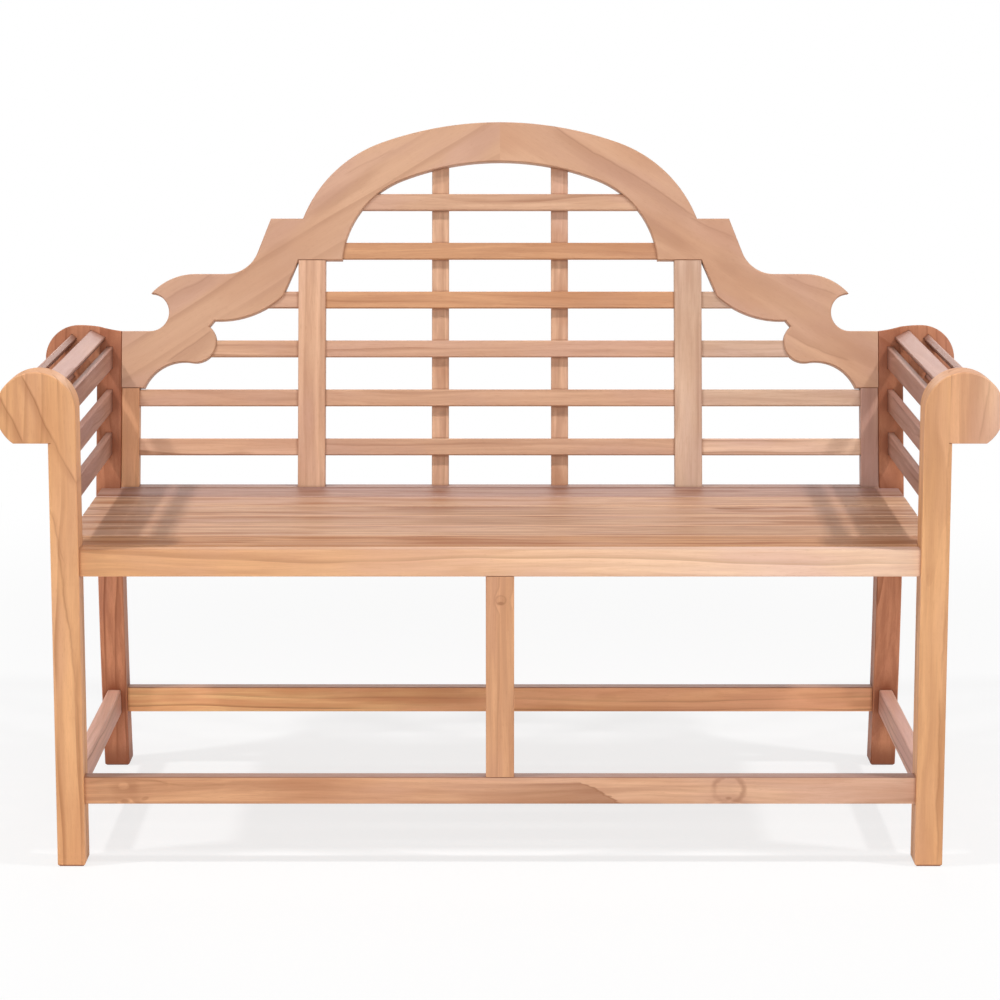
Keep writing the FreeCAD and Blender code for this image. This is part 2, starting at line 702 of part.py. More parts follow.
def crest_edge(point, direction):
    """True on the crest's sawn edges, away from its middle joint and its shoulder on the leg."""
    return abs(direction.y) < NEAR and NEAR < point.x < value(LEG_INNER) - NEAR


crest_board = plate(
    "crest_board", "XZ_Plane", crest_corners, "back_thickness", place_in_back, ("0", "0", "0")
)
dressed(crest_board, "Chamfer", "sawn_bevel", crest_edge)
crest_tenon = (
    (f"{LEG_INNER} - tenon_length", f"{LEG_INNER} + tenon_length"),
    middle(BACK_Y, "tenon_thickness"),
    (f"{BLOCK_BOTTOM} + 2 * tenon_length", f"{BLOCK_TOP} - 2 * tenon_length"),
)
crest = joined("crest", [crest_board, block("crest_tenon", *crest_tenon, place_in_back)])
crest_mortise = block("crest_mortise", *[grow(s, CLEAR) for s in crest_tenon], place_in_back)
bar_notch = block(
    "bar_notch",
    grow(BAR_X, CLEAR),
    (f"{BAR_Y[0]} - fit_clearance", "2 * back_thickness"),
    (POST_TOP, f"{UNDER_CROWN} + bar_lap + fit_clearance"),
    place_in_back,
)


def dowel(name, height, diameter, length):
    """A dowel across the crown's joint."""
    rod = doc.addObject("Part::Cylinder", name)
    bind(rod, "Radius", f"({diameter}) / 2")
    bind(rod, "Height", length)
    place_in_back(rod, (f"-({length}) / 2", "back_thickness / 2", height))
    lean = FreeCAD.Rotation(FreeCAD.Vector(-1, 0, 0), value("recline"))
    rod.setExpression("Placement.Rotation.Angle", None)
    rod.Placement.Rotation = lean * FreeCAD.Rotation(FreeCAD.Vector(0, 1, 0), 90)
    return rod


dowel_heights = (f"{CROWN_TOP} - dowel_edge", f"{UNDER_CROWN} + dowel_edge")
dowels = [
    dowel(f"crown_dowel_{n}", height, "dowel_diameter", "dowel_length")
    for n, height in enumerate(dowel_heights)
]
dowel_holes = [
    dowel(f"crown_hole_{n}", height, "dowel_diameter + 2 * fit_clearance", "dowel_length + 2 * fit_clearance")
    for n, height in enumerate(dowel_heights)
]
dowel_pair = doc.addObject("Part::Compound", "crown_dowels")
dowel_pair.Links = dowels
crest_tools = [stile_head, post_head, bar_notch, *dowel_holes, *centre_housings[POST_ROWS:]]
crest_tools += wing_housings[STILE_ROWS:]
finish_pair("crest", cut("crest_carved", crest, crest_tools))
finish("crest_dowels", dowel_pair)

# Legs and the scroll blocks glued to them
front_leg = scroll_board("front_leg", front_leg_corners, place_in_bench, foot=True)
front_mortises = [front_rail_mortise, end_rail_mortise, front_stretcher_mortise, end_stretcher_housing]
front_mortises += side_housings + roll_housings[:1]
finish_pair("front_leg", cut("front_leg_carved", front_leg, front_mortises))
front_scroll = scroll_board("front_scroll", front_scroll_corners, place_in_bench)
finish_pair("front_scroll", cut("front_scroll_carved", front_scroll, roll_housings))

lower_corners = [
    ("foot_kick", "0", None),
    ("foot_kick + leg_depth", "0", rise("foot_kick / 4", 1)),
    (f"leg_depth * {COS}", f"{BEND} - leg_depth * {SIN}", None),
    ("0", BEND, rise("foot_kick / 4", -1)),
]
rear_lower = plate(
    "rear_leg_lower", "YZ_Plane", lower_corners, "leg_width", place_in_bench, (LEG_INNER, "rear_reach", "0")
)
dressed(rear_lower, "Chamfer", "foot_chamfer", foot_edge)
dressed(rear_lower, "Chamfer", "sawn_bevel", long_edge)
rear_upper = scroll_board("rear_leg_upper", rear_leg_corners, place_in_back)
rear_leg = joined("rear_leg", [rear_lower, rear_upper])
rear_mortises = [rear_rail_mortise, end_rail_mortise, rear_stretcher_mortise, end_stretcher_housing]
rear_mortises += [crest_mortise, *side_housings, *roll_housings[:1]]
finish_pair("rear_leg", cut("rear_leg_carved", rear_leg, rear_mortises))
rear_scroll = scroll_board("rear_scroll", rear_scroll_corners, place_in_back)
finish_pair("rear_scroll", cut("rear_scroll_carved", rear_scroll, roll_housings))

# The lower frame's pieces, with the mortises that they take
finish("seat_front_rail", cut("front_rail_carved", front_rail, [centre_post_mortise, bearer_housing]))
upright_feet = [stile_foot, post_foot, bar_foot]
upright_feet += [mirrored(tool.Name + "_left", tool) for tool in upright_feet]
finish("seat_rear_rail", cut("rear_rail_carved", rear_rail, [bearer_housing, *upright_feet]))
finish_pair("seat_end_rail", end_rail)
finish("seat_bearer", bearer)
finish("front_stretcher", cut("front_stretcher_carved", front_stretcher, [centre_post_mortise]))
finish("rear_stretcher", rear_stretcher)
finish_pair("end_stretcher", end_stretcher)
finish("front_centre_post", centre_post)
doc.recompute()

# Every object has to be sound before anything is written
for thing in doc.Objects:
    if "Invalid" in thing.State or "Error" in thing.State:
        raise RuntimeError(f"{thing.Name} failed: {thing.State}")
for piece in PIECES:
    if piece.Shape.isNull() or not piece.Shape.isValid():
        raise RuntimeError(f"{piece.Label} has no valid shape")

os.makedirs("parts", exist_ok=True)
for piece in PIECES:
    piece.Shape.exportStep(f"parts/{piece.Label}.step")
print(len(PIECES), "pieces written")
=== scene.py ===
import math

import bpy
from bpy.props import FloatProperty, FloatVectorProperty, PointerProperty
from mathutils import Color, Euler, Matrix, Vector


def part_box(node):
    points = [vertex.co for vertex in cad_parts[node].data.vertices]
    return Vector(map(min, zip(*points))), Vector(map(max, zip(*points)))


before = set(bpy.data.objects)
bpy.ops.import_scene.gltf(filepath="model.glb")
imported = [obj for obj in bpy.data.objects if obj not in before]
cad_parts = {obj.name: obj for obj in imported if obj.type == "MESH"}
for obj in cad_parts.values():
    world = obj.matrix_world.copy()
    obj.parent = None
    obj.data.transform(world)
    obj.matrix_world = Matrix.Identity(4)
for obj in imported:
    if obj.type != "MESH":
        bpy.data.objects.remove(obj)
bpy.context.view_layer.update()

bl_info = {
    "name": "Teak Garden Bench",
    "version": (1, 0, 0),
    "blender": (4, 5, 0),
    "location": "View3D > Sidebar > Bench",
    "description": "Dresses the bench's timbers in sanded teak and sets up a plain studio",
    "category": "Object",
}

ORIGIN = (0.0, 0.0, 0.0)
RIGHTWARD = (1.0, 0.0, 0.0)
FORWARD = (0.0, -1.0, 0.0)
UPWARD = (0.0, 0.0, 1.0)
WHITE = (1.0, 1.0, 1.0, 1.0)
FLOOR_GREY = (0.92, 0.92, 0.92, 1.0)

# A board's number times this share, less its whole part, is where in the log the board was cut
GOLDEN = (math.sqrt(5) - 1) / 2

# Turns that lay a timber's grain along X
QUARTER = math.radians(90)
RECLINE = math.radians(12)
CREST_SLOPE = math.radians(31)
ALONG = (0.0, 0.0, 0.0)
UPRIGHT = (0.0, QUARTER, 0.0)
DEEP = (0.0, 0.0, -QUARTER)
LEANING = (RECLINE, QUARTER, 0.0)
CREST_LEFT = (RECLINE, CREST_SLOPE, 0.0)
CREST_RIGHT = (RECLINE, -CREST_SLOPE, 0.0)

# Lamps: the place and the width of each, and the point that they are turned to
SIDE_LAMP = ((2.3, -0.8, 3.4), 0.22)
FRONT_LAMP = ((0.0, -9.0, 2.0), 4.0)
BACK_LAMP = ((0.0, 8.0, 2.6), 4.0)
LAMPS_AIM = (0.0, 0.0, 0.5)


def tint(label, words, default):
    """A colour property, written as it is seen."""
    return FloatVectorProperty(
        name=label, description=words, default=default, size=3, min=0.0, max=1.0, subtype="COLOR_GAMMA"
    )


def length(label, words, default):
    return FloatProperty(name=label, description=words, default=default, min=0.0, unit="LENGTH", precision=4)


def share(label, words, default):
    return FloatProperty(name=label, description=words, default=default, min=0.0, max=1.0, subtype="FACTOR")


def power(label, words, default):
    return FloatProperty(name=label, description=words, default=default, min=0.0, unit="POWER")


class TeakColours(bpy.types.PropertyGroup):
    """The tones that the bench's timbers were cut from."""

    honey: tint("Honey", "Golden teak of the front legs and rail", (0.862, 0.645, 0.462))
    straw: tint("Straw", "Palest teak, of the front rail's right end and the right wing", (0.935, 0.782, 0.678))
    rose: tint("Rose", "Pinkish teak of the crest, the back and the seat", (0.846, 0.672, 0.556))
    amber: tint("Amber", "Warm brown teak of the front stretcher and the centre post", (0.826, 0.615, 0.462))
    blush: tint("Blush", "Greyish pink teak of the end stretchers and the rear rail", (0.815, 0.640, 0.568))
    # Dusk is partly painted shade, darker than the arms' wood to stand for the shade on their inner faces
    dusk: tint("Dusk", "Dull mauve teak of the arms' slats", (0.745, 0.560, 0.490))
    russet: tint("Russet", "Dark reddish teak of the rear legs", (0.785, 0.525, 0.390))


class GrainSizes(bpy.types.PropertyGroup):
    """How the grain runs in every timber."""

    ring: length("Ring spacing", "Distance between growth rings", 0.013)
    sway: length("Sway", "How far a growth ring wanders", 0.030)
    waver: length("Waver", "How far a single dark line wavers", 0.018)
    line: length("Line width", "Width of a single dark line", 0.0014)
    streak_long: length("Streak length", "Length of a colour streak", 0.30)
    streak_wide: length("Streak width", "Width of a colour streak", 0.008)
    fibre_long: length("Fibre length", "Length of a bundle of fibres", 0.045)
    fibre_wide: length("Fibre width", "Width of a bundle of fibres", 0.0011)
    pore_long: length("Pore length", "Length of an open pore", 0.009)
    pore_wide: length("Pore width", "Width of an open pore", 0.0005)
    patch_long: length("Patch length", "Length of a darker patch", 0.36)
    patch_wide: length("Patch width", "Width of a darker patch", 0.05)
    relief: length("Relief", "Height of the grain under the finger", 0.00035)
    sheen: share("Roughness", "Roughness of the sanded surface", 0.52)
    # How far the painted shade in the creases at the joints reaches
    crease_shade: length("Crease", "How far the dark of a joint reaches", 0.004)


class StageSizes(bpy.types.PropertyGroup):
    """Camera, floor and lamps of the studio."""

    distance: length("Distance", "From the camera to the bench's middle", 4.402)
    height: length("Height", "Of the camera above the floor", 1.295)
    pitch: FloatProperty(
        name="Pitch", description="Camera's downward tilt", default=math.radians(9.16), unit="ROTATION"
    )
    lens: FloatProperty(name="Lens", description="Focal length", default=110.1, unit="CAMERA")
    rise: FloatProperty(name="Rise", description="Vertical lens shift", default=-0.085)
    floor: length("Floor", "Radius of the floor", 14.0)
    fade_from: length("Fade from", "Where the floor starts to fade to white", 1.0)
    fade_to: length("Fade to", "Where the floor is white", 2.6)
    pale: share("Floor's white", "Share of plain white in the floor near the bench", 0.75)
    sky: FloatProperty(name="Sky", description="Strength of the light from all round", default=0.30, min=0.0)
    side_power: power("Side lamps", "Power of each side lamp", 64.0)
    front_power: power("Front lamp", "Power of the front lamp", 292.0)
    back_power: power("Back lamp", "Power of the back lamp", 170.0)


class Wire:
    """A shader's socket that Python arithmetic works on."""

    def __init__(self, shader, socket):
        self.shader = shader
        self.socket = socket

    def maths(self, operation, first, second):
        return self.shader.add("Math", {"operation": operation}, {0: first, 1: second})

    def larger(self, other):
        return self.maths("MAXIMUM", self, other)

    def smaller(self, other):
        return self.maths("MINIMUM", self, other)

    def __add__(self, other):
        return self.maths("ADD", self, other)

    def __sub__(self, other):
        return self.maths("SUBTRACT", self, other)

    def __rsub__(self, other):
        return self.maths("SUBTRACT", other, self)

    def __mul__(self, other):
        return self.maths("MULTIPLY", self, other)

    def __truediv__(self, other):
        return self.maths("DIVIDE", self, other)

    def __pow__(self, other):
        return self.maths("POWER", self, other)

    __radd__ = __add__
    __rmul__ = __mul__


class Shader:
    """A material, or the world, whose nodes are added from code."""

    def __init__(self, owner):
        owner.use_nodes = True
        self.tree = owner.node_tree
        self.tree.nodes.clear()

    def add(self, kind, settings=None, inputs=None, output=0):
        """A node of one kind, with its settings made first and its sockets set or linked."""
        node = self.tree.nodes.new("ShaderNode" + kind)
        for key, setting in (settings or {}).items():
            setattr(node, key, setting)
        for key, given in (inputs or {}).items():
            if isinstance(given, Wire):
                self.tree.links.new(given.socket, node.inputs[key])
            else:
                node.inputs[key].default_value = given
        return Wire(self, node.outputs[output] if node.outputs else None)

    def blend(self, amount, first, second):
        """A colour between two others."""
        return self.add("Mix", {"data_type": "RGBA"}, {0: amount, 6: first, 7: second}, 2)

    def vector(self, operation, first, second, third=ORIGIN):
        return self.add("VectorMath", {"operation": operation}, {0: first, 1: second, 2: third})

    def dot(self, first, second):
        """How far one vector goes along another."""
        return self.add("VectorMath", {"operation": "DOT_PRODUCT"}, {0: first, 1: tuple(second)}, "Value")

    def size(self, given):
        """A vector's length."""
        return self.add("VectorMath", {"operation": "LENGTH"}, {0: given}, "Value")

    def step(self, given, low, high, start=0.0, end=1.0):
        """A soft step from start to end as the given number goes from low to high."""
        limits = {"Value": given, "From Min": low, "From Max": high, "To Min": start, "To Max": end}
        return self.add("MapRange", {"interpolation_type": "SMOOTHSTEP"}, limits)

    def fall(self, given, low, high, start=1.0):
        """A soft step down to 0."""
        return self.step(given, low, high, start, 0.0)

    def noise(self, place, stretch, detail=2.0, output="Fac"):
        """Noise whose grains have the given length along each axis."""
        scaled = self.vector("MULTIPLY", place, tuple(1 / size for size in stretch))
        return self.add("TexNoise", {}, {"Vector": scaled, "Scale": 1.0, "Detail": detail}, output)


def seen(colour, gain):
    """A colour property as the light that it reflects, with each channel scaled."""
    lit = Color(colour).from_srgb_to_scene_linear()
    return (*(min(channel * by, 1.0) for channel, by in zip(lit, gain)), 1.0)


# The figure of a board whose operator says nothing else
PLAIN_FIGURE = {
    "far_tone": None,  # tone that it turns to at its right end
    "cut_with": None,  # node whose grain runs on into this board
    "light": 1.0,  # gain on its tone
    "ring": 1.0,  # spacing of its growth rings
    "lines": 0.55,  # dark of its growth lines
    "bands": 0.10,  # dark that each ring gains from its inside to its outside
    "streaks": 0.8,  # contrast of its streaks
    "coarse": 1.0,  # width of its streaks and patches
    "long": 1.0,  # length of its streaks and patches
    "fibres": 0.28,  # dark of its fibres
    "patches": 0.35,  # dark of its patches
    "crease_shade": 1.5,  # painted shade in the creases at its joints
    "reach": 1.0,  # how far that painted shade reaches
    "gloss": 0.32,  # its mirror-like share
    "worn": 0.0,  # painted highlight on faces turned one way, or painted shade where this is below 0
    "worn_side": FORWARD,  # the way that those faces look
    "seams": (),  # single dark lines: start, end, width of the shade beside it, strength
    "tongues": (),  # tongues of heartwood: top of the sloped end, tip, length of the fade, strength
    "knots": (),  # knots: x, z, radius, strength
    "stains": (),  # stains, and patches of painted shade: x, z, half its length, half its height, slope, strength
}


class Board:
    """How one timber was cut: its tone, its grain's turn, and the figure that shows on it."""

    def __init__(self, node, tone, turn, number, **figure):
        unknown = sorted(figure.keys() - PLAIN_FIGURE.keys())
        if unknown:
            raise KeyError(f"{node} is given a figure that no board has: {unknown}")
        vars(self).update(PLAIN_FIGURE, **figure)
        self.node = node
        self.tone = tone
        self.angles = turn
        self.turn = Euler(turn).to_matrix()
        self.low, self.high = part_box(node)
        start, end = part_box(figure.get("cut_with", node))
        self.middle = (start + end) / 2
        self.luck = (number * GOLDEN) % 1.0


# Gains on a timber's tone
SUNNY = (1.15, 1.18, 1.15)  # light streaks
SHADED = (0.86, 0.81, 0.77)  # dark streaks
FLUSH = (0.95, 0.94, 1.06)  # flushed zones
PATCH = (0.72, 0.57, 0.47)  # patches and fibres
LINE = (0.46, 0.33, 0.25)  # growth lines, single marks, and the painted shade in creases
PORE = (0.62, 0.52, 0.45)  # open pores
CUT_END = (0.70, 0.60, 0.52)  # cut ends
PAINTED_HIGHLIGHT = (1.32, 1.38, 1.45)  # painted highlight on faces turned one way
PAINTED_SHADE = (0.40, 0.36, 0.41)  # painted shade on faces turned one way

# How much of each shows
FLUSH_SHARE = 0.6
PORE_SHARE = 0.25
CUT_END_SHARE = 0.40

# What each adds to the roughness
LINE_ROUGH = 0.10
FIBRE_ROUGH = 0.10
PORE_ROUGH = 0.15
CUT_END_ROUGH = 0.12

# Heights and depths in the grain's relief, and how strongly the relief shows
FIBRE_HEIGHT = 0.5
LINE_DEPTH = 0.4
PORE_DEPTH = 0.6
RELIEF_STRENGTH = 0.35

# Soft steps: where each starts and where it is full
LINE_RISE = (0.72, 0.96)
LINE_DROP = (0.97, 1.0)
BREAK_STEP = (0.30, 0.58)
STREAK_STEP = (0.30, 0.70)
FLUSH_STEP = (0.42, 0.66)
PATCH_STEP = (0.48, 0.74)
FIBRE_STEP = (0.42, 0.78)
PORE_STEP = (0.66, 0.80)
PAINTED_LIGHT_STEP = (0.15, 0.60)
CUT_END_STEP = (0.80, 0.97)

# Lengths of the noises' grains in metres, the first of them along the board's grain
SWAY_GRAINS = (0.42, 0.10, 0.10)
BREAK_GRAINS = (0.20, 0.03, 0.03)
WAVER_GRAINS = (0.09, 0.09, 0.09)
BLUR_GRAINS = (0.12, 0.014, 0.014)
FLUSH_GRAINS = (0.22, 0.06, 0.06)
RAGGED_GRAINS = (0.030, 0.008, 0.008)
KNOT_ROUGH_GRAINS = (0.007, 0.007, 0.007)
KNOT_UNEVEN_GRAINS = (0.024, 0.024, 0.024)

# How far a board's luck moves its noises and its draw of the rings' darks
STREWN = (37.0, 11.0, 23.0)
RING_DRAW = 50.0

# Growth rings: metres to the tree's heart, their stretch along the grain, and how many rings a knot pushes them
HEART_AWAY = 0.09
SHELL_STRETCH = (0.05, 1.0, 1.0)
KNOT_PUSH = 0.45

# A single line: the dark of its edge and shade, the share of its length in which it dies out at each end,
# and what is left of it where growth lines break off
SEAM_EDGE = 0.30
SEAM_SHADE = 0.40
SEAM_DYING = 0.10
SEAM_LEFT = 0.55

# Heartwood: its dark, the dark of its edge, what is left of it where it has faded, its edge's softness in metres,
# and the share of the waver that its top line has
TONGUE_DARK = 0.65
TONGUE_EDGE = 0.35
TONGUE_LEFT = 0.12
TONGUE_SOFT = (-0.001, 0.002)
TONGUE_TOP_WAVER = 0.5

# A knot: its oval, how ragged it is and the dark inside it, then steps in knot's radii from its middle:
# where it pushes rings aside, its rim's two sides and its inside; and how the rim is broken
KNOT_OVAL = (0.92, 0.0, 1.0)
KNOT_RAGGED = 0.26
KNOT_INSIDE = 0.16
KNOT_NEAR = (0.3, 3.0)
RIM_RISE = (0.66, 0.90)
RIM_DROP = (0.92, 1.20)
RIM_BREAK = (0.22, 0.60, 0.15, 0.50)
INSIDE_DROP = (0.5, 1.2)

# The speck below a knot's middle: how many radii below, its oval, its edge in metres and its dark
SPECK_BELOW = 0.6
SPECK_OVAL = (0.5, 0.0, 1.0)
SPECK_EDGE = (0.001, 0.003)
SPECK_DARK = 0.55

# A stain, and a patch of painted shade: how ragged it is, and where it fades, in halves of its size
DARK_PATCH_RAGGED = 1.6
DARK_PATCH_DROP = (0.30, 1.20)


def seam_mask(shader, point, waver, seam, grain):
    """One dark growth line from a start to an end in the front view, with its shade fading to one side."""
    (x0, z0), (x1, z1), fade, strength = seam
    way = Vector((x1 - x0, 0.0, z1 - z0))
    side = way.normalized().cross(Vector((0.0, math.copysign(1.0, fade), 0.0)))
    begun = shader.vector("SUBTRACT", point, (x0, 0.0, z0))
    off = shader.dot(begun, side) + waver
    along = shader.dot(begun, way / way.length_squared)
    width = grain.line
    edge = shader.step(off, -width, 0.0) * shader.fall(off, width, 2 * width)
    shade = shader.step(off, 0.0, width) * shader.fall(off, 0.0, abs(fade))
    begins = shader.step(along, -SEAM_DYING, SEAM_DYING)
    ends = shader.fall(along, 1 - SEAM_DYING, 1 + SEAM_DYING, strength)
    return (edge * SEAM_EDGE + shade * SEAM_SHADE) * (begins * ends)


def tongue_mask(shader, point, waver, tongue, grain):
    """Darker heartwood under a line, that ends in a ragged slope down to its tip and fades to the left."""
    (x0, z0), (x1, z1), fade, strength = tongue
    side = Vector((x1 - x0, 0.0, z1 - z0)).normalized().cross(Vector(FORWARD))
    ragged = (shader.noise(point, RAGGED_GRAINS, 3.0) - 0.5) * grain.waver
    behind = shader.dot(shader.vector("SUBTRACT", point, (x1, 0.0, z1)), side) + waver + ragged
    under = z0 - shader.dot(point, UPWARD) + waver * TONGUE_TOP_WAVER
    inside = behind.smaller(under)
    width = grain.line
    edge = shader.step(inside, -width, 0.0) * shader.fall(inside, 0.0, 3 * width, TONGUE_EDGE)
    deep = shader.step(shader.dot(point, RIGHTWARD), x1 - fade, x1, TONGUE_LEFT, 1.0)
    return (shader.step(inside, *TONGUE_SOFT) * TONGUE_DARK + edge) * deep * strength


def knot_masks(shader, point, knot):
    """How near a point is to a knot's middle, and the knot's own dark: a broken rim and a speck inside it."""
    x, z, radius, strength = knot
    off = shader.vector("MULTIPLY", shader.vector("SUBTRACT", point, (x, 0.0, z)), KNOT_OVAL)
    rough = shader.noise(point, KNOT_ROUGH_GRAINS, 3.0)
    uneven = shader.noise(point, KNOT_UNEVEN_GRAINS, 1.0)
    away = shader.size(off) / radius + (rough - 0.5) * KNOT_RAGGED
    near = shader.fall(away, *KNOT_NEAR)
    rim = shader.step(away, *RIM_RISE) * shader.fall(away, *RIM_DROP) * shader.step(uneven, *RIM_BREAK)
    inside = shader.fall(away, *INSIDE_DROP) * rough
    below = shader.vector("SUBTRACT", point, (x, 0.0, z - SPECK_BELOW * radius))
    speck = shader.fall(shader.size(shader.vector("MULTIPLY", below, SPECK_OVAL)), *SPECK_EDGE)
    return near, (rim + inside * KNOT_INSIDE + speck * SPECK_DARK) * strength


def stain_and_shade_mask(shader, point, blur, stain):
    """A soft dark patch, longer than it is high, that rises to the right by a slope: a stain in the wood, and on
    the rear legs painted shade.
    """
    x, z, half_long, half_high, slope, strength = stain
    lean = Vector((math.cos(slope), 0.0, math.sin(slope)))
    over = lean.cross(Vector(FORWARD))
    off = shader.vector("SUBTRACT", point, (x, 0.0, z))
    far = shader.dot(off, lean / half_long)
    high = shader.dot(off, over / half_high)
    away = (far * far + high * high) ** 0.5 + (blur - 0.5) * DARK_PATCH_RAGGED
    return shader.fall(away, *DARK_PATCH_DROP, strength)


def growth_rings(shader, board, grain, point, bent, strewn):
    """Long shells about the tree's heart that knots push aside.

    Gives how far out in its ring a point is, the dark lines, where lines break off, and the dark of each knot.
    """
    turn = 2 * math.pi * board.luck
    heart = (0.5 - board.luck, HEART_AWAY * math.cos(turn), HEART_AWAY * math.sin(turn))
    shells = shader.vector("MULTIPLY", shader.vector("SUBTRACT", bent, heart), SHELL_STRETCH)
    rings = shader.size(shells) / (grain.ring * board.ring)
    knots = []
    for knot in board.knots:
        near, dark = knot_masks(shader, point, knot)
        rings = rings + near * KNOT_PUSH
        knots.append(dark)
    within = rings.maths("FRACT", rings, 0.0)
    which = rings.maths("FLOOR", rings, 0.0)
    chance = shader.add("TexWhiteNoise", {"noise_dimensions": "1D"}, {"W": which + RING_DRAW * board.luck})
    broken = shader.step(shader.noise(strewn, BREAK_GRAINS, 1.0), *BREAK_STEP)
    line = shader.step(within, *LINE_RISE) * shader.fall(within, *LINE_DROP) * chance * broken
    return within, line, broken, knots


def single_marks(shader, board, grain, point, wavy, strewn, broken):
    """The dark of each single line, tongue of heartwood, stain and patch of painted shade that shows on this board.
    """
    waver = (shader.noise(strewn, WAVER_GRAINS, 4.0) - 0.5) * grain.waver
    blur = shader.noise(wavy, BLUR_GRAINS, 3.0)
    whole = SEAM_LEFT + broken * (1 - SEAM_LEFT)
    return [
        *(seam_mask(shader, point, waver, seam, grain) * whole for seam in board.seams),
        *(tongue_mask(shader, point, waver, tongue, grain) for tongue in board.tongues),
        *(stain_and_shade_mask(shader, point, blur, stain) for stain in board.stains),
    ]


def teak(board, colours, grain):
    """Sanded teak for one board: growth rings, streaks, patches, fibres, pores, marks and cut ends, with painted
    highlight and painted shade on some faces and in the creases.
    """
    material = bpy.data.materials.new(board.node)
    shader = Shader(material)

    # Place on the board, with the grain along X, and the same place bent by the rings' sway
    point = shader.add("TexCoord", output="Object")
    home = -(board.turn @ board.middle)
    place = shader.add("Mapping", {}, {"Vector": point, "Rotation": board.angles, "Location": home})
    start = tuple(far * board.luck for far in STREWN)
    strewn = shader.vector("ADD", place, start)
    sway = shader.noise(strewn, SWAY_GRAINS, 2.0, "Color")
    bent = shader.vector("MULTIPLY_ADD", sway, (0.0, grain.sway, grain.sway), place)
    wavy = shader.vector("ADD", bent, start)

    within, line, broken, marks = growth_rings(shader, board, grain, point, bent, strewn)
    marks += single_marks(shader, board, grain, point, wavy, strewn, broken)

    # Streaks, flushed zones, patches, fibres and pores
    streak_wide = grain.streak_wide * board.coarse
    streak = shader.noise(wavy, (grain.streak_long * board.long, streak_wide, streak_wide), 4.0)
    streak = (shader.step(streak, *STREAK_STEP) - 0.5) * board.streaks + 0.5
    flush = shader.step(shader.noise(strewn, FLUSH_GRAINS, 2.0), *FLUSH_STEP)
    patch_wide = grain.patch_wide * board.coarse
    patch = shader.noise(wavy, (grain.patch_long * board.long, patch_wide, patch_wide), 3.0)
    fibre = shader.noise(wavy, (grain.fibre_long, grain.fibre_wide, grain.fibre_wide), 2.0)
    pore = shader.noise(strewn, (grain.pore_long, grain.pore_wide, grain.pore_wide), 0.0)
    pore = shader.step(pore, *PORE_STEP)

    far = None
    if board.far_tone:
        far = shader.step(shader.dot(point, RIGHTWARD), board.low.x, board.high.x)

    def shade(gain):
        """The board's tone at a gain, turning to its far tone towards its right end."""
        lit = tuple(channel * board.light for channel in gain)
        near_shade = seen(getattr(colours, board.tone), lit)
        if far is None:
            return near_shade
        return shader.blend(far, near_shade, seen(getattr(colours, board.far_tone), lit))

    dark_line = shade(LINE)
    colour = shader.blend(streak, shade(SHADED), shade(SUNNY))
    colour = shader.blend(flush * FLUSH_SHARE, colour, shade(FLUSH))
    colour = shader.blend(shader.step(patch, *PATCH_STEP) * board.patches, colour, shade(PATCH))
    colour = shader.blend(within * board.bands + line * board.lines, colour, dark_line)
    colour = shader.blend(shader.step(fibre, *FIBRE_STEP) * board.fibres, colour, shade(PATCH))
    colour = shader.blend(pore * PORE_SHARE, colour, shade(PORE))
    if marks:
        darkest = marks[0]
        for mark in marks[1:]:
            darkest = darkest.larger(mark)
        colour = shader.blend(darkest, colour, dark_line)

    # Faces turned one way get a painted highlight or painted shade; cut ends are darker than the sides; the creases
    # at the joints get painted shade
    facing = shader.add("NewGeometry", output="Normal")
    if board.worn:
        turned_share = shader.step(shader.dot(facing, board.worn_side), *PAINTED_LIGHT_STEP)
        colour = shader.blend(turned_share * abs(board.worn), colour, shade(PAINTED_HIGHLIGHT if board.worn > 0 else PAINTED_SHADE))
    end = shader.dot(facing, board.turn.transposed() @ Vector(RIGHTWARD))
    end = shader.step(end.maths("ABSOLUTE", end, 0.0), *CUT_END_STEP)
    colour = shader.blend(end * CUT_END_SHARE, colour, shade(CUT_END))
    # Painted shade in the creases at the joints, as far as the ambient occlusion reaches
    if board.crease_shade:
        reach = {"Distance": grain.crease_shade * board.reach}
        unshaded = shader.add("AmbientOcclusion", {"samples": 4}, reach, "AO")
        colour = shader.blend((1 - unshaded) * board.crease_shade, colour, dark_line)

    roughness = grain.sheen + line * LINE_ROUGH + fibre * FIBRE_ROUGH + pore * PORE_ROUGH + end * CUT_END_ROUGH
    height = fibre * FIBRE_HEIGHT - line * LINE_DEPTH - pore * PORE_DEPTH
    bump = shader.add("Bump", {}, {"Strength": RELIEF_STRENGTH, "Distance": grain.relief, "Height": height})
    wood = {"Base Color": colour, "Roughness": roughness, "Normal": bump, "Specular IOR Level": board.gloss}
    shader.add("OutputMaterial", {}, {"Surface": shader.add("BsdfPrincipled", {}, wood)})
    return material


def dress(context, boards):
    """Give each board's node its own teak."""
    scene = context.scene
    for board in boards:
        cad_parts[board.node].material_slots[0].material = teak(board, scene.bench_teak, scene.bench_grain)
    return {"FINISHED"}


def pair(name, tone, turn, number, right=None, **looks):
    """The left and the right board of a pair, with the figure that only the right one has."""
    return [
        Board(name + "_left", tone, turn, number, **looks),
        Board(name + "_right", tone, turn, number + 1, **looks, **(right or {})),
    ]


def named(start):
    """The CAD nodes whose names start alike, in order."""
    return sorted(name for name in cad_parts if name.startswith(start))


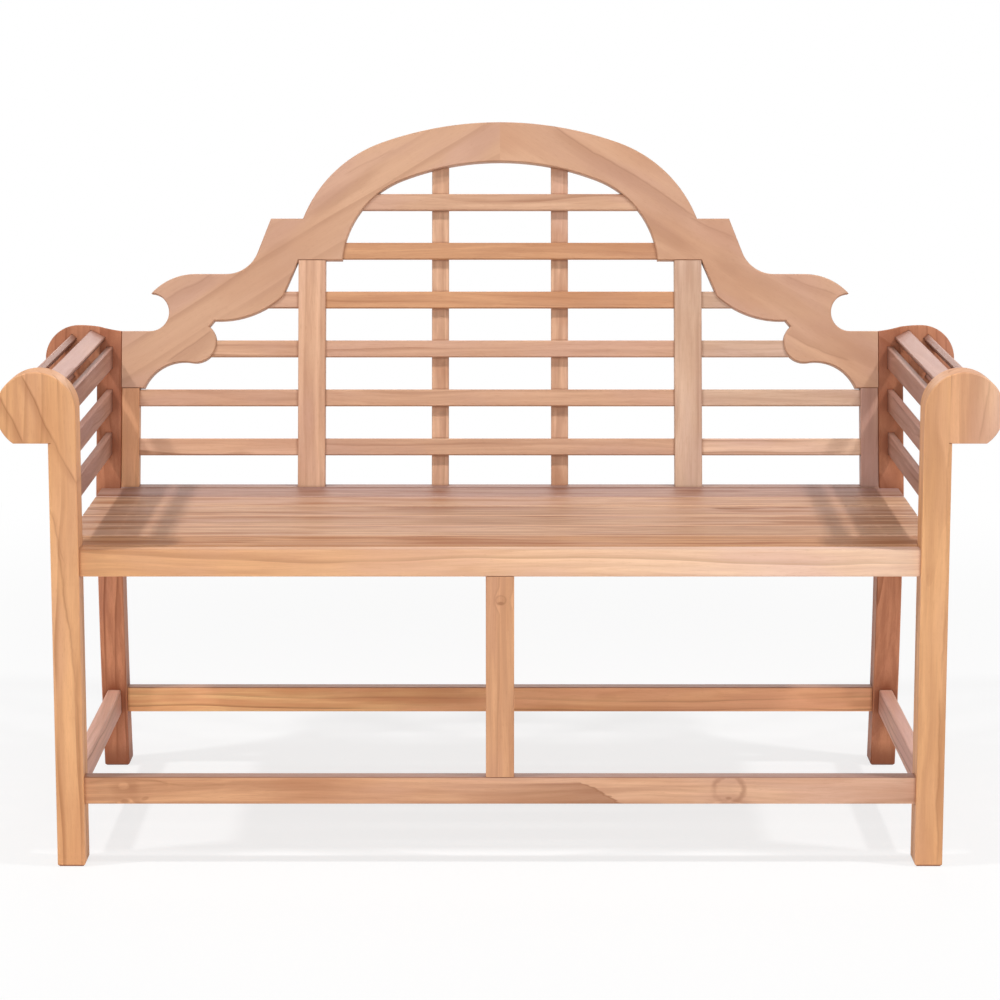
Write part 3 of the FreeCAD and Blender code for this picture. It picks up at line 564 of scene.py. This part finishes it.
class BENCH_OT_front_legs(bpy.types.Operator):
    """Front legs and the blocks that complete their scrolls"""

    bl_idname = "bench.front_legs"
    bl_label = "Front legs"

    def execute(self, context):
        # One line runs from the left scroll's block on into the leg
        shoulder = ((-0.646, 0.692), (-0.575, 0.543), -0.014, 1.1)
        left_leg = [
            shoulder,
            ((-0.613, 0.500), (-0.597, 0.430), 0.010, 0.8),
            ((-0.606, 0.470), (-0.583, 0.250), 0.012, 0.9),
            ((-0.586, 0.300), (-0.580, 0.120), 0.010, 0.6),
        ]
        # A band of painted shade along the right leg's outer edge
        right_edge_shade = [((0.604, 0.240), (0.606, 0.005), 0.020, 0.7), ((0.608, 0.600), (0.607, 0.280), 0.010, 0.5)]
        left_scroll = [shoulder, ((-0.676, 0.662), (-0.645, 0.597), -0.016, 1.0)]
        right_scroll = [((0.664, 0.695), (0.650, 0.600), 0.010, 0.5)]

        golden = {"ring": 1.5, "lines": 0.55, "patches": 0.4, "streaks": 0.9, "coarse": 1.6, "fibres": 0.2}
        cloudy = {"ring": 2.6, "lines": 0.35, "patches": 0.9, "streaks": 1.3, "coarse": 2.2, "fibres": 0.16}
        glued = {"crease_shade": 0.3, "cut_with": "front_leg_left"}
        boards = [
            Board("front_leg_left", "honey", UPRIGHT, 3, light=1.05, seams=left_leg, **golden),
            Board("front_leg_right", "honey", UPRIGHT, 4, seams=right_edge_shade, **golden),
            Board("front_scroll_left", "honey", UPRIGHT, 3, light=1.05, seams=left_scroll, **glued, **golden),
            Board(
                "front_scroll_right", "amber", UPRIGHT, 9, far_tone="rose", light=1.08, seams=right_scroll, **cloudy
            ),
        ]
        return dress(context, boards)


class BENCH_OT_rear_legs(bpy.types.Operator):
    """Rear legs and the blocks that complete their scrolls"""

    bl_idname = "bench.rear_legs"
    bl_label = "Rear legs"

    def execute(self, context):
        # Painted shade on the rear legs' upper parts, round the arms
        left = [(-0.600, 0.62, 0.16, 0.045, QUARTER, 0.45), (-0.580, 0.48, 0.07, 0.030, QUARTER, 0.35)]
        right = [(0.600, 0.60, 0.16, 0.045, QUARTER, 0.45), (0.620, 0.74, 0.06, 0.030, 0.0, 0.35)]
        # The painted shade in their creases reaches far, round the arms' slats
        leg = {"ring": 1.2, "patches": 0.6, "streaks": 1.2, "lines": 0.7, "reach": 10.0, "crease_shade": 2.6}
        boards = [
            Board("rear_leg_left", "russet", UPRIGHT, 11, stains=left, **leg),
            Board("rear_leg_right", "russet", UPRIGHT, 12, light=0.92, stains=right, **leg),
        ]
        boards += pair("rear_scroll", "russet", LEANING, 14, light=0.85, ring=1.2, patches=0.8)
        return dress(context, boards)


class BENCH_OT_lower_frame(bpy.types.Operator):
    """Rails, stretchers, the centre post and the bearer"""

    bl_idname = "bench.lower_frame"
    bl_label = "Lower frame"

    def execute(self, context):
        front_marks = {
            "tongues": [((0.112, 0.117), (0.166, 0.088), 0.26, 1.0)],
            "knots": [(-0.519, 0.104, 0.013, 0.15), (0.317, 0.108, 0.021, 1.0)],
            "seams": [
                ((-0.568, 0.118), (-0.530, 0.1238), -0.014, 0.6),
                ((-0.506, 0.1230), (-0.459, 0.118), -0.016, 0.7),
                ((-0.459, 0.118), (-0.380, 0.1155), -0.014, 0.5),
            ],
            "stains": [
                (-0.521, 0.0915, 0.008, 0.004, 0.0, 0.60),
                (-0.492, 0.0950, 0.006, 0.003, 0.3, 0.45),
                (-0.496, 0.1100, 0.022, 0.009, 0.0, 0.16),
            ],
        }
        rear_stains = [
            (-0.13, 0.114, 0.20, 0.022, 0.0, 0.47),
            (-0.496, 0.112, 0.035, 0.012, 0.0, 0.25),
            (0.164, 0.110, 0.030, 0.010, 0.0, 0.25),
            (0.500, 0.112, 0.060, 0.016, 0.0, 0.25),
            (0.300, 0.112, 0.300, 0.040, 0.0, 0.16),
        ]
        post_knots = [(0.001, 0.376, 0.007, 1.0)]

        # The tops of the front rail and of the long stretchers get painted shade
        rail = {"ring": 1.3, "lines": 0.65, "patches": 0.25, "worn": -0.25, "worn_side": UPWARD}
        long = {"lines": 0.85, "patches": 0.6, "streaks": 1.3, "worn": -0.9, "worn_side": UPWARD}
        front = {"far_tone": "rose", "light": 1.01, "ring": 1.1}
        # The rear stretcher's tone is raised: painted light against the shade under the seat
        rear = {"far_tone": "amber", "light": 1.42, "ring": 1.2, "stains": rear_stains}
        boards = [
            Board("seat_front_rail", "honey", ALONG, 20, far_tone="straw", light=1.05, **rail),
            # The rear rail is darkened: painted shade from the back above it
            Board("seat_rear_rail", "blush", ALONG, 21, light=0.56, gloss=0.10),
            Board("front_stretcher", "amber", ALONG, 25, **front, **front_marks, **long),
            Board("rear_stretcher", "honey", ALONG, 28, **rear, **long),
            Board("front_centre_post", "amber", UPRIGHT, 31, ring=1.2, lines=0.7, knots=post_knots),
            Board("seat_bearer", "amber", DEEP, 33),
        ]
        # The end stretchers' tone is raised: painted light against the shade that they lie in
        boards += pair("end_stretcher", "blush", DEEP, 35, light=1.25)
        boards += pair("seat_end_rail", "amber", DEEP, 37)
        return dress(context, boards)


class BENCH_OT_seat(bpy.types.Operator):
    """Slats of the seat"""

    bl_idname = "bench.seat"
    bl_label = "Seat slats"

    def execute(self, context):
        # From the front to the rear
        # Each slat's front-facing faces get a painted highlight
        looks = (
            ("amber", {"light": 0.80, "worn": 0.25}),
            ("rose", {"light": 0.82, "worn": 0.8, "stains": [(0.33, 0.447, 0.24, 0.1, 0.0, 0.22)]}),
            ("rose", {"light": 0.80, "worn": 0.9, "stains": [(0.02, 0.447, 0.16, 0.1, 0.0, 0.30)]}),
            ("rose", {"light": 0.80, "worn": 0.9, "stains": [(-0.02, 0.447, 0.20, 0.1, 0.0, 0.35)]}),
            ("rose", {"light": 0.84, "worn": 0.7}),
            # The rear slat is darkened: painted shade from the back
            ("blush", {"light": 0.64, "worn": 1.0}),
        )
        dull = {"gloss": 0.05, "crease_shade": 0.0}
        slat = {"coarse": 0.5, "long": 0.8, "patches": 1.7, "lines": 0.8, "streaks": 2.2}
        boards = [
            Board(name, tone, ALONG, 41 + n, **own, **dull, **slat)
            for n, (name, (tone, own)) in enumerate(zip(named("seat_slat_"), looks, strict=True))
        ]
        return dress(context, boards)


class BENCH_OT_arms(bpy.types.Operator):
    """Slats round the roll and down the side of each arm"""

    bl_idname = "bench.arms"
    bl_label = "Arm slats"

    def execute(self, context):
        # The slats' dark tone and low light are partly painted shade of their inner faces; their tops get a painted
        # highlight
        look = {"light": 0.80, "patches": 0.6, "streaks": 1.2, "reach": 10.0, "crease_shade": 1.9}
        worn = {"worn": 0.45, "worn_side": UPWARD}
        boards = [Board(name, "dusk", DEEP, 53 + n, **look, **worn) for n, name in enumerate(named("arm_"))]
        return dress(context, boards)


class BENCH_OT_back_uprights(bpy.types.Operator):
    """Stiles, posts and thin bars of the back"""

    bl_idname = "bench.back_uprights"
    bl_label = "Back uprights"

    def execute(self, context):
        post = {"ring": 1.8, "lines": 0.35, "streaks": 1.0, "coarse": 1.5, "long": 0.6}
        bar = {"light": 0.92, "patches": 0.8, "streaks": 1.0, "long": 0.25, "lines": 0.35, "ring": 1.6}
        stained = {"stains": [(0.088, 0.565, 0.026, 0.03, QUARTER, 0.35)]}
        boards = [
            Board("back_stile_left", "amber", LEANING, 71, light=1.08),
            Board("back_stile_right", "blush", LEANING, 72, light=0.78),
            Board("back_post_left", "rose", LEANING, 74, light=0.96, **post),
            Board("back_post_right", "straw", LEANING, 75, light=0.72, **post),
        ]
        boards += pair("back_bar", "rose", LEANING, 78, right=stained, **bar)
        return dress(context, boards)


class BENCH_OT_back_slats(bpy.types.Operator):
    """Slats of the back's middle and wings"""

    bl_idname = "bench.back_slats"
    bl_label = "Back slats"

    def execute(self, context):
        # From the lowest to the highest
        looks = (("rose", 0.90), ("rose", 0.92), ("rose", 0.93), ("amber", 0.90), ("amber", 0.86), ("rose", 0.87))
        boards = [
            Board(name, tone, ALONG, 83 + n, light=light, lines=0.4)
            for n, (name, (tone, light)) in enumerate(zip(named("back_slat_"), looks, strict=True))
        ]
        # The left slat's number, and the light of the left and of the right slat
        wings = ((97, 1.0, 0.86), (101, 0.93, 0.71), (103, 0.93, 0.71), (105, 0.93, 0.71))
        for row, (number, left, right) in enumerate(wings, start=1):
            boards += [
                Board(f"wing_slat_{row}_left", "rose", ALONG, number, light=left, lines=0.6),
                Board(f"wing_slat_{row}_right", "straw", ALONG, number + 1, light=right, lines=0.6),
            ]
        return dress(context, boards)


class BENCH_OT_crest(bpy.types.Operator):
    """The serpentine crest's two boards and their dowels"""

    bl_idname = "bench.crest"
    bl_label = "Crest"

    def execute(self, context):
        left = {
            "light": 0.87,
            "patches": 0.35,
            "streaks": 0.30,
            "seams": [
                ((-0.512, 0.727), (-0.440, 0.768), -0.020, 0.5),
                ((-0.506, 0.636), (-0.440, 0.681), -0.030, 0.7),
                ((-0.235, 0.915), (-0.165, 0.950), -0.012, 0.4),
            ],
            "stains": [
                (-0.235, 0.890, 0.090, 0.013, 0.62, 0.24),
                (-0.020, 0.955, 0.050, 0.040, 1.2, 0.14),
                (-0.345, 0.800, 0.030, 0.014, 0.62, 0.14),
            ],
        }
        right = {
            "light": 0.89,
            "patches": 0.55,
            "streaks": 0.55,
            "seams": [
                ((0.080, 0.990), (0.296, 0.855), -0.040, 0.75),
                ((0.290, 0.852), (0.356, 0.824), -0.012, 0.6),
                ((0.436, 0.763), (0.512, 0.733), -0.015, 0.6),
                ((0.436, 0.676), (0.530, 0.635), 0.020, 0.6),
            ],
            "stains": [(0.350, 0.780, 0.030, 0.020, -0.5, 0.14), (0.250, 0.830, 0.060, 0.018, -0.6, 0.12)],
        }
        look = {"ring": 2.4, "lines": 0.30, "bands": 0.06, "coarse": 3.0, "fibres": 0.12}
        boards = [
            Board("crest_left", "rose", CREST_LEFT, 111, **left, **look),
            Board("crest_right", "rose", CREST_RIGHT, 114, **right, **look),
            Board("crest_dowels", "honey", ALONG, 116),
        ]
        return dress(context, boards)


def background_rays(shader):
    """1 where a ray shows the background: straight, in a gloss or through glass."""
    camera = shader.add("LightPath", output="Is Camera Ray")
    glossy = shader.add("LightPath", output="Is Glossy Ray")
    passing = shader.add("LightPath", output="Is Transmission Ray")
    return camera.larger(glossy.larger(passing))


def floor_material(stage):
    """A pale floor that takes the bench's shadow and fades to white further out."""
    material = bpy.data.materials.new("studio_floor")
    shader = Shader(material)
    place = shader.add("TexCoord", output="Object")
    out = shader.step(shader.size(place), stage.fade_from, stage.fade_to)
    lit = shader.add("BsdfDiffuse", {}, {"Color": FLOOR_GREY})
    white = shader.add("Emission", {}, {"Color": WHITE, "Strength": 1.0})
    pale = out * (1 - stage.pale) + stage.pale
    surface = shader.add("MixShader", {}, {0: pale * background_rays(shader), 1: lit, 2: white})
    shader.add("OutputMaterial", {}, {"Surface": surface})
    return material


def white_world(stage):
    """Soft light from all round, with white behind the bench."""
    world = bpy.data.worlds.new("studio_sky")
    shader = Shader(world)
    shown = background_rays(shader)
    strength = shown + (1 - shown) * stage.sky
    sky = shader.add("Background", {}, {"Color": WHITE, "Strength": strength})
    shader.add("OutputWorld", {}, {"Surface": sky})
    return world


def area_lamp(name, place, size, lamp_power):
    """A square soft lamp turned towards the bench."""
    data = bpy.data.lights.new(name, "AREA")
    data.size = size
    data.energy = lamp_power
    lamp = bpy.data.objects.new(name, data)
    lamp.location = place
    lamp.rotation_euler = (Vector(LAMPS_AIM) - Vector(place)).to_track_quat("-Z", "Y").to_euler()
    bpy.context.scene.collection.objects.link(lamp)


class BENCH_OT_stage(bpy.types.Operator):
    """Floor, sky, lamps and camera"""

    bl_idname = "bench.stage"
    bl_label = "Studio"

    def execute(self, context):
        scene = context.scene
        stage = scene.bench_stage
        bpy.ops.object.select_all(action="DESELECT")
        bpy.ops.mesh.primitive_circle_add(vertices=96, radius=stage.floor, fill_type="NGON")
        floor = context.active_object
        floor.name = "studio_floor"
        floor.data.materials.append(floor_material(stage))
        scene.world = white_world(stage)

        (x, y, z), size = SIDE_LAMP
        area_lamp("side_lamp_left", (-x, y, z), size, stage.side_power)
        area_lamp("side_lamp_right", (x, y, z), size, stage.side_power)
        area_lamp("front_lamp", *FRONT_LAMP, stage.front_power)
        area_lamp("back_lamp", *BACK_LAMP, stage.back_power)

        data = bpy.data.cameras.new("studio_camera")
        data.lens = stage.lens
        data.shift_y = stage.rise
        camera = bpy.data.objects.new("studio_camera", data)
        camera.location = (0.0, -stage.distance, stage.height)
        camera.rotation_euler = (QUARTER - stage.pitch, 0.0, 0.0)
        scene.collection.objects.link(camera)
        scene.camera = camera
        scene.view_settings.view_transform = "Standard"
        return {"FINISHED"}


class BENCH_PT_panel(bpy.types.Panel):
    """Lists the bench's sizes, colours and steps in the sidebar"""

    bl_idname = "BENCH_PT_panel"
    bl_label = "Teak Garden Bench"
    bl_space_type = "VIEW_3D"
    bl_region_type = "UI"
    bl_category = "Bench"

    def draw(self, context):
        scene = context.scene
        for settings in (scene.bench_teak, scene.bench_grain, scene.bench_stage):
            box = self.layout.box()
            for name in settings.__annotations__:
                box.prop(settings, name)
        for step in STEPS:
            self.layout.operator(step.bl_idname)


SETTINGS = (("bench_teak", TeakColours), ("bench_grain", GrainSizes), ("bench_stage", StageSizes))
STEPS = (
    BENCH_OT_front_legs,
    BENCH_OT_rear_legs,
    BENCH_OT_lower_frame,
    BENCH_OT_seat,
    BENCH_OT_arms,
    BENCH_OT_back_uprights,
    BENCH_OT_back_slats,
    BENCH_OT_crest,
    BENCH_OT_stage,
)


def register():
    for name, group in SETTINGS:
        bpy.utils.register_class(group)
        setattr(bpy.types.Scene, name, PointerProperty(type=group))
    for step in STEPS:
        bpy.utils.register_class(step)
    bpy.utils.register_class(BENCH_PT_panel)


def unregister():
    bpy.utils.unregister_class(BENCH_PT_panel)
    for step in reversed(STEPS):
        bpy.utils.unregister_class(step)
    for name, group in reversed(SETTINGS):
        delattr(bpy.types.Scene, name)
        bpy.utils.unregister_class(group)


def main():
    register()
    for step in STEPS:
        group, name = step.bl_idname.split(".")
        getattr(getattr(bpy.ops, group), name)()


if __name__ == "__main__":
    main()
